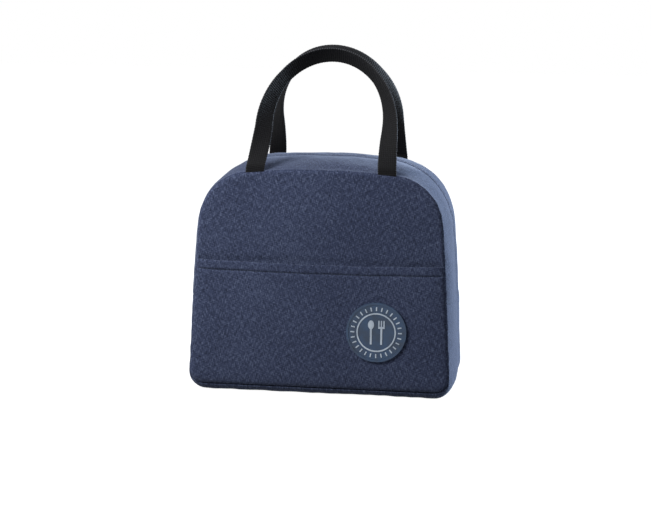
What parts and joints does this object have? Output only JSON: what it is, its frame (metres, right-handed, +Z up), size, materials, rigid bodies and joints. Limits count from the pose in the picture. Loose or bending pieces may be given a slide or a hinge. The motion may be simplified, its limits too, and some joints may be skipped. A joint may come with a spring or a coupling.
{
  "type": "insulated lunch bag",
  "caption": "Soft insulated lunch bag with arched panels, a crowned zip-up gusset, a front slip pocket with a round badge, and twin webbing handles.",
  "frame": {"origin": "on the floor under the middle of the bag's base", "axes": "+Z up, the front panel with the pocket faces -Y, +X to the right seen from the front"},
  "size_m": [0.2386, 0.1302, 0.3031],
  "materials": {
    "outer_fabric": "matte",
    "insulation_foam": "matte",
    "foil_lining": "satin",
    "seam_binding": "matte",
    "zip_tape": "matte",
    "zip_coil": "satin",
    "zip_metal": "satin",
    "handle_webbing": "matte",
    "badge_rubber": "satin",
    "badge_inlay": "satin"
  },
  "bodies": {
    "body": {"lower_gusset": "outer_fabric", "front_panel": "outer_fabric", "back_panel": "outer_fabric", "front_pocket": "outer_fabric", "front_foam_lower": "insulation_foam", "back_foam_lower": "insulation_foam", "base_foam": "insulation_foam", "left_side_foam": "insulation_foam", "right_side_foam": "insulation_foam", "front_lining": "foil_lining", "back_lining": "foil_lining", "lower_lining": "foil_lining", "front_seam_binding_lower": "seam_binding", "back_seam_binding_lower": "seam_binding", "gusset_seam_bindings": "seam_binding", "badge_patch": "badge_rubber", "badge_inlay": "badge_inlay"},
    "front_flap": {"top_gusset_front": "outer_fabric", "front_foam_upper": "insulation_foam", "top_foam_front": "insulation_foam", "top_lining_front": "foil_lining", "front_seam_binding_upper": "seam_binding", "zip_tape_front": "zip_tape", "zip_coil_front": "zip_coil", "front_handle_tails": "handle_webbing"},
    "rear_flap": {"top_gusset_rear": "outer_fabric", "back_foam_upper": "insulation_foam", "top_foam_rear": "insulation_foam", "top_lining_rear": "foil_lining", "back_seam_binding_upper": "seam_binding", "zip_tape_rear": "zip_tape", "zip_coil_rear": "zip_coil", "rear_handle_tails": "handle_webbing"},
    "front_handle": {"front_handle": "handle_webbing"},
    "rear_handle": {"rear_handle": "handle_webbing"},
    "zip_slider": {"zip_slider": "zip_metal"},
    "zip_pull": {"zip_pull": "zip_metal"}
  },
  "joints": [
    {"name": "front_flap_fold", "type": "hinge", "parent": "body", "child": "front_flap", "pos_m": [0, -0.0615, 0.086], "axis": [1, 0, 0], "range_deg": [0, 30], "deforming": ["front_panel", "front_pocket", "front_lining"]},
    {"name": "rear_flap_fold", "type": "hinge", "parent": "body", "child": "rear_flap", "pos_m": [0, 0.0615, 0.086], "axis": [-1, 0, 0], "range_deg": [0, 30], "deforming": ["back_panel", "back_lining"]},
    {"name": "front_handle_swing", "type": "hinge", "parent": "front_flap", "child": "front_handle", "pos_m": [0, -0.0628, 0.19584], "axis": [1, 0, 0], "range_deg": [0, 190]},
    {"name": "rear_handle_swing", "type": "hinge", "parent": "rear_flap", "child": "rear_handle", "pos_m": [0, 0.0628, 0.19584], "axis": [-1, 0, 0], "range_deg": [0, 185]},
    {"name": "zip_slider_travel", "type": "slide", "parent": "body", "child": "zip_slider", "axis": [-0.0663, 0, -0.9978], "range_m": [-0.046, 0]},
    {"name": "zip_pull_swing", "type": "hinge", "parent": "zip_slider", "child": "zip_pull", "pos_m": [-0.1163, 0, 0.09251], "axis": [0, 1, 0], "range_deg": [0, 170]}
  ]
}
